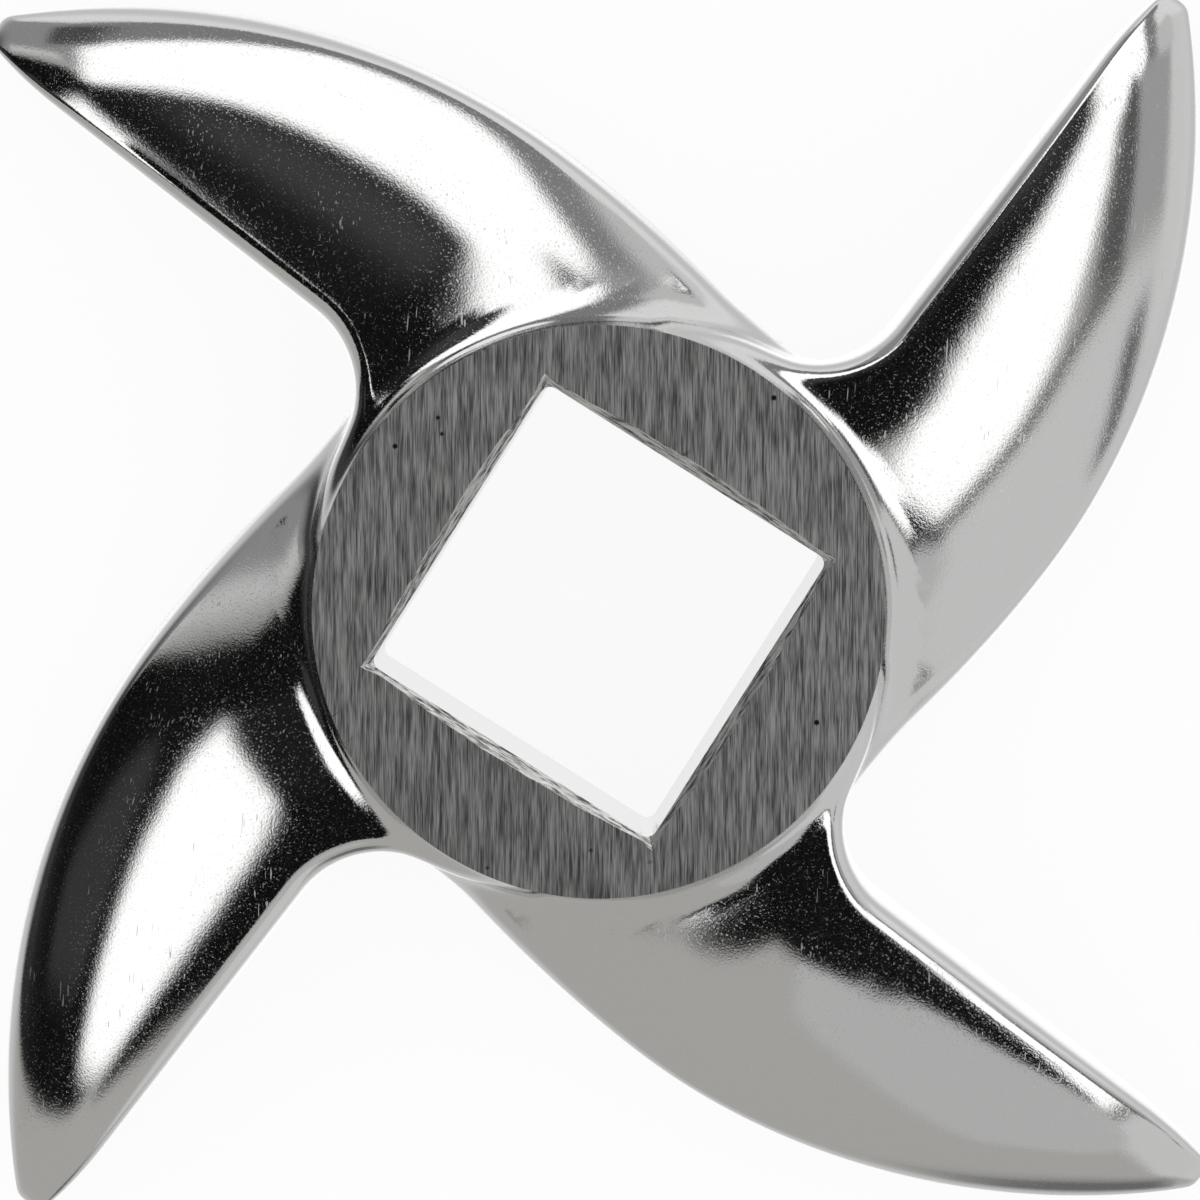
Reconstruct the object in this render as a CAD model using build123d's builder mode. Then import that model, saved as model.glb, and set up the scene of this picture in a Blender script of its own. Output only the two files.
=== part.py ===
from build123d import *
import os
from math import cos, hypot, radians, sin, sqrt

# Meat grinder knife: one cast and ground piece with a square drive bore and four swept arms.
# The plate side lies on the XY plane and +Z points to the worm. The bore's sides are parallel to X and Y.
# Every arm is drawn once, with its cutting edge along +X, and is then patterned about the bore's axis.

os.makedirs("parts", exist_ok=True)

# Hub, in mm
hub_height = 12.0
hub_face_radius = 11.4
hub_waist_radius = 11.8
hub_foot_radius = 12.5
hub_waist_share = 0.45

# Square bore and the bevel filed by hand along its four sides
bore_width = 13.2
bore_sides = 4
bore_corner_radius = 0.4
filed_bevel = 0.45
filed_angle = 45.0

# Ground face on the plate side: a hub ring and a land behind every cutting edge
land_width = 3.5
hub_ring_width = 0.5
back_relief = 0.4

# Arms, seen from above
arm_count = 4
edge_turn = -5.7
edge_offset = 2.3
tip_reach = 34.2
tip_radius = 1.05
tip_centre_offset = 3.63
tip_ease_length = 3.2
tip_edge_radius = 0.3
root_radius = 4.0
back_apex = 11.9
back_offset = 13.85
back_radius_to_hub = 48.0

# Arms, seen in section
crest_height = 9.8
crest_start = 12.0
crest_run_power = 1.6
crest_fall_power = 3.0
crest_inset_least = 0.25
crest_inset_share = 0.07
crest_inset_top_share = 0.3
shoulder_share_root = 0.07
shoulder_share_gain = 0.28
shoulder_gain_power = 2.5
shoulder_angle = 45.0
wall_handle_share = 0.92
knee_handle_share = 0.32
shoulder_handle_share = 0.7
foot_handle_share = 0.5
wall_lean_ratio = 0.12

# Where the sections stand: root sections fan out from the hub, the others cross the arm squarely.
# The root's stations are angles on the root arc with shares of the back's apex, the arm's are shares
# of the way from the root arc to the tip's centre, and the tip's are shares of the tip's radius.
root_fan = [(75.0, 0.42), (50.0, 0.76), (25.0, 1.11)]
arm_stations = [0.095, 0.364, 0.603, 0.782, 0.901, 0.979]
tip_stations = [0.62, 0.88]
root_seat_depth = 0.3
root_seat_angle = -12.5
root_seat_back = 1.9

tip_centre = tip_reach - tip_radius
root_centre_y = edge_offset - root_radius
root_centre_x = sqrt((hub_foot_radius + root_radius) ** 2 - root_centre_y**2)

# The back's arc towards the tip runs into the tip's circle without a corner
tip_run = tip_centre - back_apex
tip_fall = back_offset - tip_centre_offset
back_radius_to_tip = (tip_run**2 + tip_fall**2 - tip_radius**2) / (2 * (tip_fall - tip_radius))


def back_foot(x):
    """Distance of the arm's back edge from the centre line, two arcs tangent at the apex."""
    radius = back_radius_to_hub if x < back_apex else back_radius_to_tip
    return back_offset - radius + sqrt(radius**2 - (x - back_apex) ** 2)


def cutting_foot(x):
    """Distance of the cutting edge from the centre line, straight and then eased into the tip."""
    eased = max(0.0, x - (tip_centre - tip_ease_length)) / tip_ease_length
    return edge_offset + (tip_centre_offset - tip_radius - edge_offset) * eased**2


def arm_section(front, back):
    """One closed section of the arm between two feet on the plate side, as a face."""
    width = hypot(back[0] - front[0], back[1] - front[1])
    along = min(max((back[0] - crest_start) / (tip_reach - crest_start), 0.0), 1.0)
    crest = crest_height * (1 - along**crest_run_power) ** (1 / crest_fall_power)
    crest_inset = min(crest_inset_least + crest_inset_share * width, crest_inset_top_share * width)
    shoulder_inset = width * (shoulder_share_root + shoulder_share_gain * along**shoulder_gain_power)
    dome_radius = (width - crest_inset - shoulder_inset) / sin(radians(shoulder_angle))

    def on_dome(slope):
        reach = crest_inset + dome_radius * sin(radians(slope))
        return (reach, crest - dome_radius * (1 - cos(radians(slope))))

    knee = on_dome(0)
    shoulder = on_dome(shoulder_angle)
    shoulder_run = shoulder_handle_share * shoulder_inset
    foot_rise = foot_handle_share * shoulder[1]
    across = Vector(back[0] - front[0], front[1] - back[1], 0).normalized()
    section_plane = Plane(origin=(front[0], -front[1], 0), x_dir=across, z_dir=across.cross(Vector(0, 0, 1)))
    with BuildSketch(section_plane) as section:
        with BuildLine():
            Bezier((0, 0), (0, wall_handle_share * crest), (knee_handle_share * crest_inset, crest), knee)
            ThreePointArc(knee, on_dome(shoulder_angle / 2), shoulder)
            Bezier(
                shoulder,
                (shoulder[0] + shoulder_run, shoulder[1] - shoulder_run),
                (width - wall_lean_ratio * foot_rise, foot_rise),
                (width, 0),
            )
            Line((width, 0), (0, 0))
        make_face()
    return section.sketch.face()


sections = []
seat_radius = hub_foot_radius - root_seat_depth
seat_front = (seat_radius * cos(radians(root_seat_angle)), seat_radius * sin(radians(root_seat_angle)))
sections.append(arm_section(seat_front, (root_seat_back, back_foot(root_seat_back))))
for root_angle, back_share in root_fan:
    back_x = back_share * back_apex
    front_x = root_centre_x - root_radius * sin(radians(root_angle))
    front_y = root_centre_y + root_radius * cos(radians(root_angle))
    sections.append(arm_section((front_x, front_y), (back_x, back_foot(back_x))))
for station in arm_stations:
    x = root_centre_x + station * (tip_centre - root_centre_x)
    sections.append(arm_section((x, cutting_foot(x)), (x, back_foot(x))))
for share in tip_stations:
    x = tip_centre + share * tip_radius
    half_width = tip_radius * sqrt(1 - share**2)
    sections.append(arm_section((x, tip_centre_offset - half_width), (x, tip_centre_offset + half_width)))

with BuildPart() as arm:
    loft(sections)
    tip_face = arm.faces().sort_by(Axis.X)[-1]
    fillet(tip_face.edges().sort_by(Axis.Z)[-1], radius=tip_edge_radius)

with BuildPart() as knife:
    with BuildSketch(Plane.XZ):
        with BuildLine():
            Line((0, 0), (hub_foot_radius, 0))
            waist = (hub_waist_radius, hub_waist_share * hub_height)
            ThreePointArc((hub_foot_radius, 0), waist, (hub_face_radius, hub_height))
            Polyline((hub_face_radius, hub_height), (0, hub_height), (0, 0))
        make_face()
    revolve(axis=Axis.Z)
    with PolarLocations(0, arm_count, start_angle=edge_turn):
        add(arm.part)

    with BuildSketch(Plane.XY):
        Rectangle(bore_width, bore_width)
        fillet(vertices(), radius=bore_corner_radius)
    extrude(amount=hub_height, mode=Mode.SUBTRACT)

    half_bore = bore_width / 2
    with BuildSketch(mode=Mode.PRIVATE) as bevel_side:
        with BuildLine():
            middle = (half_bore + filed_bevel, 0)
            bulge = ThreePointArc((half_bore, -half_bore), middle, (half_bore, half_bore))
            Line(bulge @ 1, bulge @ 0)
        make_face()
    with BuildSketch(Plane.XY.offset(hub_height)):
        Rectangle(bore_width, bore_width)
        with PolarLocations(0, bore_sides):
            add(bevel_side.sketch)
    extrude(amount=-filed_bevel, taper=filed_angle, mode=Mode.SUBTRACT)

    with BuildSketch(Plane.XY):
        with PolarLocations(0, arm_count, start_angle=edge_turn):
            with Locations((root_seat_back, -edge_offset - land_width)):
                Rectangle(tip_reach, back_offset, align=(Align.MIN, Align.MAX))
        Circle(hub_foot_radius + hub_ring_width, mode=Mode.SUBTRACT)
    extrude(amount=back_relief, mode=Mode.SUBTRACT)

knife.part.label = "knife"
export_step(knife.part, "parts/knife.step")
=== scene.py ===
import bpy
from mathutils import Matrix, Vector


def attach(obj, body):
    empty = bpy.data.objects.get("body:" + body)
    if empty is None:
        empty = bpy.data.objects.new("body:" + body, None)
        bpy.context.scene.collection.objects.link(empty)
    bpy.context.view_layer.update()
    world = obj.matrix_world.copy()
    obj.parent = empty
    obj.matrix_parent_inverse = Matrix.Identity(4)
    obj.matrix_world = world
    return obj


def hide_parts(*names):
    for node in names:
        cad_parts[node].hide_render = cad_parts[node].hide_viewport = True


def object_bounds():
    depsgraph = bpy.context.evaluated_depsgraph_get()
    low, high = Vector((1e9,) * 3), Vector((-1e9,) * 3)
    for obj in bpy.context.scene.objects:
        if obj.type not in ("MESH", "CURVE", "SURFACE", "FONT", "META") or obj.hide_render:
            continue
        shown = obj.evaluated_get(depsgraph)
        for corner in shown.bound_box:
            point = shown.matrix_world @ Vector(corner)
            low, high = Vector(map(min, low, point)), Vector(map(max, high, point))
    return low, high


bl_info = {
    "name": "Meat grinder knife",
    "version": (1, 0, 0),
    "blender": (4, 5, 0),
    "location": "View3D > Sidebar > Grinder knife",
    "description": "Models a polished grinder knife and a pale studio stage for it",
    "category": "Object",
}

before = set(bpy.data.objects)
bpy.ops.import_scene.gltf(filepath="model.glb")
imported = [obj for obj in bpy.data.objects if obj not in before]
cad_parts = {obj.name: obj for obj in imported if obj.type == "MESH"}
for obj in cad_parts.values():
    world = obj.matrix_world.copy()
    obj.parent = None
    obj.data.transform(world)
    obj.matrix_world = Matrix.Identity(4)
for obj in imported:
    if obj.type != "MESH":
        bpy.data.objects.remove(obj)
cad_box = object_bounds()

import math
from types import SimpleNamespace

import bpy
import numpy as np
from bpy.props import FloatProperty, FloatVectorProperty, PointerProperty
from mathutils import Matrix, Vector
from mathutils.bvhtree import BVHTree

# The knife is modelled in mm, like the lengths below, and its finished mesh is brought to metres
MM = 0.001
ARMS = 4
QUARTER_TURN = math.radians(90)
EDGE_TURN = math.radians(-5.7)  # of the arms, from the bore's sides
VIEW_TURN = math.radians(32.3)  # of the viewer's right, from the bore's sides
WAIST_SHARE = 0.45  # where the hub is narrowest, as a share of its height

# The arm's first sections fan out from the hub. Their place is a step along the root arc, which starts at 0.
# Steps below 0 are inside the hub, and steps past the arc go on along the arm.
FAN_START = math.radians(75)
FAN_TURN = math.radians(25)
FAN_TURNS = 3
HUB_STEP = -4.3
SEAT_STEP = -2.08
ARM_STEP = 1.59
LAST_STEP = 4.59
BACK_STOPS = (-1.6, 1.9, 5.0, 9.04, 13.2, 18.0, 21.0)  # places of the back foot along the arm
HUB_FRONT = (10.7, -4.6)  # front feet at the two steps inside the hub
SEAT_FRONT = (11.91, -2.64)
ARC_LEAD = 0.35  # they lead into this much of the arc

# Form of a section across the arm: fall of the crest towards the tip, inset of the crest behind the cutting
# edge, shoulder between the dome and the back, and lengths of the curves' handles
CREST_RUN_POWER = 1.6
CREST_FALL_POWER = 3
INSET_LEAST = 0.25
INSET_SHARE = 0.07
INSET_MOST_SHARE = 0.3
SHOULDER_SHARE = 0.07
SHOULDER_GAIN = 0.28
SHOULDER_GAIN_POWER = 2.5
SHOULDER_DEGREES = 45
WALL_HANDLE = 0.96
KNEE_HANDLE = 0.17
SHOULDER_HANDLE = 0.7
FOOT_HANDLE = 0.5
BACK_LEAN = 0.12

# How finely the knife is drawn
WALL_STEPS = 24
DOME_POINTS = 27
BACK_STEPS = 16
ROOT_ROWS = 36
BLADE_ROWS = 42
TIP_DEGREES = (8, 16, 24, 32, 40, 48, 55, 62, 68, 74, 79, 83, 86, 88.5)
ROUND_POINTS = 240
HUB_LEVELS = 37
LEAST_POINTS = 10000  # fewer mean that a cut went wrong

# Bore and filed bevel
BORE_SIDES = 4
SIDE_POINTS = 36
CORNER_POINTS = 4
STROKE_SEED = 7
STROKE_DEPTH = 0.035
BEVEL_NARROWEST = 0.06
NICK_REACH = 1.1
BORE_BOTTOM = -1.0
BORE_CLEARANCE = 0.5

# Blocks that cut the relief
BLOCK_START = 1.9
BLOCK_LENGTH = 34.0
BLOCK_WIDTH = 16.0
BLOCK_DEPTH = 1
RING_DEPTH = 6

# The curved skin as a distance field, and how it is melted near the hub
SKIRT_LEVEL = -1.5  # the arms' walls go on down to here
SEARCH_REACH = 4.0
OUT_OF_REACH = 99.0  # distance of what isn't found
SLOPE_STEP = 0.01
TINY_LENGTH = 1e-12
TINY_AREA = 1e-18
TINY_GAP = 1e-7
TINY_SLOPE = 1e-6
MELT_FROM = 10.9
MELT_TO = 15.5
MELT_BELOW_FACE = 0.05
MELT_PASSES = 5
MELT_STEP = 0.4
MELT_RIM_GAP = 0.02
PROBE_LEVEL = 1.0
PROBE_DEPTH = 0.12
FOOT_LEVEL = 1e-3
SKIN_DEPTH = 0.15  # points nearer to the skin than this are shaded as skin
SKIN_TURN = -0.2

# The knife's finishes, in the order of its materials, and the slopes that tell its faces apart
POLISHED, GROUND, FILED, BORE, RELIEVED = range(5)
FLAT_SLOPE = 0.999
FLAT_GAP = 0.01
BEVEL_SLOPE = 0.2
BORE_SLOPE = 0.3
PLATE_SLOPE = -0.8
RELIEF_SLACK = 0.1


# ---- settings


def length(name, description, default_mm):
    """A length given in mm and kept in metres."""
    default = default_mm * MM
    kind = {"subtype": "DISTANCE", "unit": "LENGTH", "precision": 5}
    return FloatProperty(name=name, description=description, default=default, min=0.0, **kind)


def share(name, description, default):
    """A share between 0 and 1."""
    return FloatProperty(
        name=name, description=description, default=default, min=0.0, max=1.0, subtype="FACTOR"
    )


def tint(name, description, default):
    """A colour."""
    return FloatVectorProperty(
        name=name, description=description, default=default, size=3, min=0.0, max=1.0, subtype="COLOR"
    )


class KnifeSizes(bpy.types.PropertyGroup):
    """Sizes of the knife."""

    hub_height: length("Hub height", "Height of the hub over the plate side", 12.0)
    hub_face: length("Hub face radius", "Radius of the ground face on the worm side", 11.4)
    hub_waist: length("Hub waist radius", "Radius of the hub's wall below its middle", 11.8)
    hub_foot: length("Hub foot radius", "Radius of the hub on the plate side", 12.5)
    bore: length("Bore width", "Square bore, across its flats", 13.2)
    bore_corner: length("Bore corner radius", "Radius inside the bore's corners", 0.4)
    bevel: length("Filed bevel", "Widest part of the bevel filed round the bore's mouth", 0.45)
    bevel_least: length("Filed bevel at corners", "Width of the filed bevel near the corners", 0.16)
    corner_nick: length("Corner nick", "How much wider the filed bevel is right in the corners", 0.3)
    land: length("Land width", "Ground land behind every cutting edge", 3.5)
    ring: length("Hub ring", "Ground ring round the hub's foot", 0.5)
    relief: length("Relief depth", "How far the plate side is relieved behind the lands", 0.4)
    edge_offset: length("Edge offset", "Distance of a cutting edge from the arm's centre line", 2.3)
    tip_reach: length("Tip reach", "Distance of the arm's tip from the bore's axis", 34.2)
    tip_radius: length("Tip radius", "Radius of the tip seen from above", 1.05)
    tip_offset: length("Tip offset", "Distance of the tip's centre from the arm's centre line", 3.63)
    tip_ease: length("Tip ease", "Length over which the cutting edge turns into the tip", 3.2)
    root_radius: length("Root radius", "Radius between the hub and the cutting edge", 4.0)
    back_apex: length("Back apex", "Distance of the back's widest point along the arm", 11.9)
    back_offset: length("Back offset", "Distance of the back's widest point from the centre line", 13.85)
    back_radius: length("Back radius", "Radius of the back edge towards the hub", 48.0)
    crest: length("Crest height", "Height of the crest behind the cutting edge, at the hub", 9.8)
    crest_start: length("Crest start", "Distance along the arm where the crest begins to fall", 12.0)
    blend: length("Hub blend", "Size of the soft blend between the arms and the hub", 1.3)


class KnifeFinish(bpy.types.PropertyGroup):
    """Colours and finish of the steel."""

    steel: tint("Polished steel", "Colour of the polished arms", (0.74, 0.74, 0.735))
    steel_roughness: share("Polish roughness", "Roughness of the polished arms", 0.07)
    ground: tint("Ground steel", "Colour of the ground faces", (0.5, 0.5, 0.495))
    ground_roughness: share("Grinding roughness", "Roughness of the ground faces", 0.38)
    filed: tint("Filed steel", "Colour of the bevel filed round the bore", (0.62, 0.62, 0.61))


class StageLook(bpy.types.PropertyGroup):
    """Floor and light of the studio."""

    floor: tint("Floor", "Colour of the floor", (0.9, 0.9, 0.9))
    floor_size: length("Floor size", "Side of the floor", 4000.0)
    panel_light: FloatProperty(
        name="Panel light", description="Brightness of the soft light panels", default=1.4, min=0.0
    )
    lens: FloatProperty(
        name="Lens", description="Focal length", default=206.4, min=10.0, subtype="DISTANCE_CAMERA"
    )


def sizes_in_mm(sizes):
    """The sizes as plain numbers in millimetres, with the ones that follow from them."""
    s = SimpleNamespace(**{name: getattr(sizes, name) / MM for name in KnifeSizes.__annotations__})
    s.turn = EDGE_TURN
    s.tip_x = s.tip_reach - s.tip_radius
    s.root_y = s.edge_offset - s.root_radius
    s.root_x = math.sqrt((s.hub_foot + s.root_radius) ** 2 - s.root_y**2)
    run, fall = s.tip_x - s.back_apex, s.back_offset - s.tip_offset
    s.back_to_tip = (run**2 + fall**2 - s.tip_radius**2) / (2 * (fall - s.tip_radius))
    s.back_end = s.tip_x + s.tip_radius * math.sin(math.atan2(run, s.back_to_tip - fall))
    rise = s.tip_offset - s.tip_radius - s.edge_offset
    ease = math.atan(2 * rise / s.tip_ease)
    s.ease_end = s.tip_x + s.tip_radius * math.sin(ease)
    s.ease_rise = s.tip_offset - s.tip_radius * math.cos(ease) - s.edge_offset
    s.ease_start = s.ease_end - 2 * s.ease_rise / math.tan(ease)
    waist = (s.hub_waist, WAIST_SHARE * s.hub_height)
    s.hub_arc = circle_through((s.hub_foot, 0), waist, (s.hub_face, s.hub_height))
    return s


def circle_through(p, q, r):
    """Centre and radius of the circle through three points."""
    (x1, y1), (x2, y2), (x3, y3) = p, q, r
    d = 2 * (x1 * (y2 - y3) + x2 * (y3 - y1) + x3 * (y1 - y2))
    a, b, c = x1**2 + y1**2, x2**2 + y2**2, x3**2 + y3**2
    cx = (a * (y2 - y3) + b * (y3 - y1) + c * (y1 - y2)) / d
    cy = (a * (x3 - x2) + b * (x1 - x3) + c * (x2 - x1)) / d
    return cx, cy, math.hypot(x1 - cx, y1 - cy)


# ---- the arm's form


def smooth_through(x, knots, values):
    """Height at x of a smooth curve through the knots."""
    knots, values = np.array(knots, float), np.array(values, float)
    gaps = np.diff(knots)
    steps = np.diff(values) / gaps
    bends = (steps[:-1] * gaps[1:] + steps[1:] * gaps[:-1]) / (gaps[:-1] + gaps[1:])
    slopes = np.concatenate([steps[:1], bends, steps[-1:]])
    i = int(np.clip(np.searchsorted(knots, x) - 1, 0, len(gaps) - 1))
    t = (x - knots[i]) / gaps[i]
    rise = (3 - 2 * t) * t**2
    bend = (t**3 - 2 * t**2 + t) * slopes[i] + (t**3 - t**2) * slopes[i + 1]
    return float(values[i] * (1 - rise) + values[i + 1] * rise + gaps[i] * bend)


def back_foot(s, x):
    """Distance of the back edge from the arm's centre line."""
    if x > s.back_end:
        return s.tip_offset + math.sqrt(max(s.tip_radius**2 - (x - s.tip_x) ** 2, 0))
    radius = s.back_radius if x < s.back_apex else s.back_to_tip
    return s.back_offset - radius + math.sqrt(radius**2 - (x - s.back_apex) ** 2)


def cutting_foot(s, x):
    """Distance of the cutting edge from the arm's centre line."""
    if x > s.ease_end:
        return s.tip_offset - math.sqrt(max(s.tip_radius**2 - (x - s.tip_x) ** 2, 0))
    return s.edge_offset + s.ease_rise * max(0.0, (x - s.ease_start) / (s.ease_end - s.ease_start)) ** 2


def root_feet(s, step):
    """Front and back feet of a section at a step along the root, from inside the hub outwards."""
    fan = s.root_radius * FAN_TURN
    straight = FAN_TURNS * fan
    stops = (HUB_STEP, SEAT_STEP, 0, fan, 2 * fan, straight + ARM_STEP, straight + LAST_STEP)
    back_x = smooth_through(step, stops, BACK_STOPS)

    def on_arc(distance):
        angle = FAN_START - distance / s.root_radius
        return s.root_x - s.root_radius * math.sin(angle), s.root_y + s.root_radius * math.cos(angle)

    if step >= straight:
        x = s.root_x + step - straight
        front = (x, cutting_foot(s, x))
    elif step >= 0:
        front = on_arc(step)
    else:
        stops = (HUB_STEP, SEAT_STEP, 0.0, ARC_LEAD)
        fronts = (HUB_FRONT, SEAT_FRONT, on_arc(0.0), on_arc(ARC_LEAD))
        front = tuple(smooth_through(step, stops, values) for values in zip(*fronts))
    return front, (back_x, back_foot(s, back_x))


def bezier(points, steps):
    """Points along a cubic curve."""
    a, b, c, d = (np.array(p, float) for p in points)
    t = np.linspace(0, 1, steps + 1)[:, None]
    return (1 - t) ** 3 * a + 3 * (1 - t) ** 2 * t * b + 3 * (1 - t) * t**2 * c + t**3 * d


def arm_section(s, front, back):
    """Points of one section: up the concave wall, over the crest and the dome, down the back."""
    width = math.hypot(back[0] - front[0], back[1] - front[1])
    along = min(max((back[0] - s.crest_start) / (s.tip_reach - s.crest_start), 0.0), 1.0)
    crest = s.crest * (1 - along**CREST_RUN_POWER) ** (1 / CREST_FALL_POWER)
    inset = min(INSET_LEAST + INSET_SHARE * width, INSET_MOST_SHARE * width)
    shoulder = width * (SHOULDER_SHARE + SHOULDER_GAIN * along**SHOULDER_GAIN_POWER)
    radius = (width - inset - shoulder) / math.sin(math.radians(SHOULDER_DEGREES))
    slope = np.radians(np.linspace(0, SHOULDER_DEGREES, DOME_POINTS))
    dome = np.stack([inset + radius * np.sin(slope), crest - radius * (1 - np.cos(slope))], 1)
    wall = bezier([(0, 0), (0, WALL_HANDLE * crest), (KNEE_HANDLE * inset, crest), (inset, crest)], WALL_STEPS)
    edge, run = dome[-1], SHOULDER_HANDLE * shoulder
    rise = FOOT_HANDLE * edge[1]
    turn = (edge[0] + run, edge[1] - run)
    tail = bezier([edge, turn, (width - BACK_LEAN * rise, rise), (width, 0)], BACK_STEPS)
    flat = np.concatenate([wall[:-1], dome, tail[1:]])
    across = (np.array(back) - np.array(front)) / width
    plan = np.array(front) + flat[:, :1] * across
    return np.stack([plan[:, 0], -plan[:, 1], flat[:, 1]], 1)


def arm_rows(s):
    """All sections of the arm, from inside the hub to the tip."""
    straight = FAN_TURNS * s.root_radius * FAN_TURN + ARM_STEP
    steps = np.linspace(HUB_STEP, straight, ROOT_ROWS)[:-1]
    rows = [arm_section(s, *root_feet(s, step)) for step in steps]
    places = list(np.linspace(s.root_x + ARM_STEP, s.tip_x, BLADE_ROWS))
    places += [s.tip_x + s.tip_radius * math.sin(math.radians(a)) for a in TIP_DEGREES]
    rows += [arm_section(s, (x, cutting_foot(s, x)), (x, back_foot(s, x))) for x in places]
    return np.array(rows)


def hub_radius(s, z):
    """Radius of the hub's waisted wall at a height."""
    across, middle, radius = s.hub_arc
    return across - np.sqrt(radius**2 - (np.clip(z, 0, s.hub_height) - middle) ** 2)


# ---- modelling helpers


def select_none():
    """Leaves edit mode, with nothing selected."""
    if bpy.context.object and bpy.context.object.mode != "OBJECT":
        bpy.ops.object.mode_set(mode="OBJECT")
    bpy.ops.object.select_all(action="DESELECT")


def points_of(mesh):
    """All points of a mesh, one per row."""
    flat = np.zeros(len(mesh.vertices) * 3, np.float32)
    mesh.vertices.foreach_get("co", flat)
    return flat.reshape(-1, 3).astype(float)


def put_points(mesh, points):
    """Moves all points of a mesh."""
    mesh.vertices.foreach_set("co", np.asarray(points, np.float32).reshape(-1))
    mesh.update()


def arm_turn(s, k, size=4):
    """Turns the arm that was drawn into the place of arm k."""
    return Matrix.Rotation(s.turn + k * QUARTER_TURN, size, "Z")


def select_parts(obj, verts=(), edges=()):
    """Goes into edit mode on obj with only these points or edges selected."""
    select_none()
    bpy.context.view_layer.objects.active = obj
    obj.select_set(True)
    bpy.ops.object.mode_set(mode="EDIT")
    bpy.ops.mesh.select_mode(type="EDGE" if len(edges) else "VERT")
    bpy.ops.mesh.select_all(action="DESELECT")
    bpy.ops.object.mode_set(mode="OBJECT")
    for kind, chosen in ((obj.data.vertices, verts), (obj.data.edges, edges)):
        if len(chosen):
            flags = np.zeros(len(kind), bool)
            flags[list(chosen)] = True
            kind.foreach_set("select", flags)
    bpy.ops.object.mode_set(mode="EDIT")


def face_outwards():
    """Turns the edited mesh's normals outwards, and leaves edit mode."""
    bpy.ops.mesh.select_all(action="SELECT")
    bpy.ops.mesh.normals_make_consistent(inside=False)
    bpy.ops.object.mode_set(mode="OBJECT")


def combine(target, tool, operation):
    """Joins tool to target, or cuts it away, and removes the tool."""
    select_none()
    bpy.context.view_layer.objects.active = target
    target.select_set(True)
    modifier = target.modifiers.new("combine", "BOOLEAN")
    modifier.operation = operation
    modifier.object = tool
    modifier.solver = "EXACT"
    bpy.ops.object.modifier_apply(modifier=modifier.name)
    bpy.data.objects.remove(tool)


def model_arm(rows):
    """One arm, closed under its sections and at both ends."""
    n_rows, n_cols = rows.shape[:2]
    select_none()
    bpy.ops.mesh.primitive_grid_add(x_subdivisions=n_cols - 1, y_subdivisions=n_rows - 1, size=1.0)
    arm = bpy.context.object
    arm.name = "arm"
    put_points(arm.data, rows)
    columns = [(e.index, [v % n_cols for v in e.vertices]) for e in arm.data.edges]
    feet = [index for index, (a, b) in columns if a == b and a in (0, n_cols - 1)]
    select_parts(arm, edges=feet)
    bpy.ops.mesh.bridge_edge_loops()
    for row in (0, n_rows - 1):
        select_parts(arm, verts=range(row * n_cols, (row + 1) * n_cols))
        bpy.ops.mesh.edge_face_add()
    face_outwards()
    return arm


def start_disc(points, radius):
    """A new disc, in edit mode and selected."""
    select_none()
    bpy.ops.mesh.primitive_circle_add(vertices=points, radius=radius, fill_type="NGON", location=(0, 0, 0))
    bpy.ops.object.mode_set(mode="EDIT")
    bpy.ops.mesh.select_all(action="SELECT")
    return bpy.context.object


def model_hub(s):
    """The hub, drawn up ring by ring along its waisted wall."""
    hub = start_disc(ROUND_POINTS, s.hub_foot)
    hub.name = "knife_body"
    heights = np.linspace(0, s.hub_height, HUB_LEVELS)
    for low, high in zip(heights[:-1], heights[1:]):
        narrower = float(hub_radius(s, high) / hub_radius(s, low))
        bpy.ops.mesh.extrude_region_move(TRANSFORM_OT_translate={"value": (0, 0, high - low)})
        bpy.ops.transform.resize(value=(narrower, narrower, 1))
    face_outwards()
    return hub


def square_outline(width, corner, per_side, per_corner):
    """Points round a square with rounded corners, anticlockwise from one side's start."""
    half = width / 2
    turns = np.radians(np.linspace(0, 90, per_corner + 1))[1:-1]
    side = [(half, y) for y in np.linspace(corner - half, half - corner, per_side + 1)]
    bend = half - corner
    side += [(bend + corner * math.cos(t), bend + corner * math.sin(t)) for t in turns]
    quarter = np.array([[0, 1], [-1, 0]])
    sides = [np.array(side)]
    for _ in range(BORE_SIDES - 1):
        sides.append(sides[-1] @ quarter)
    return np.concatenate(sides)


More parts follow.
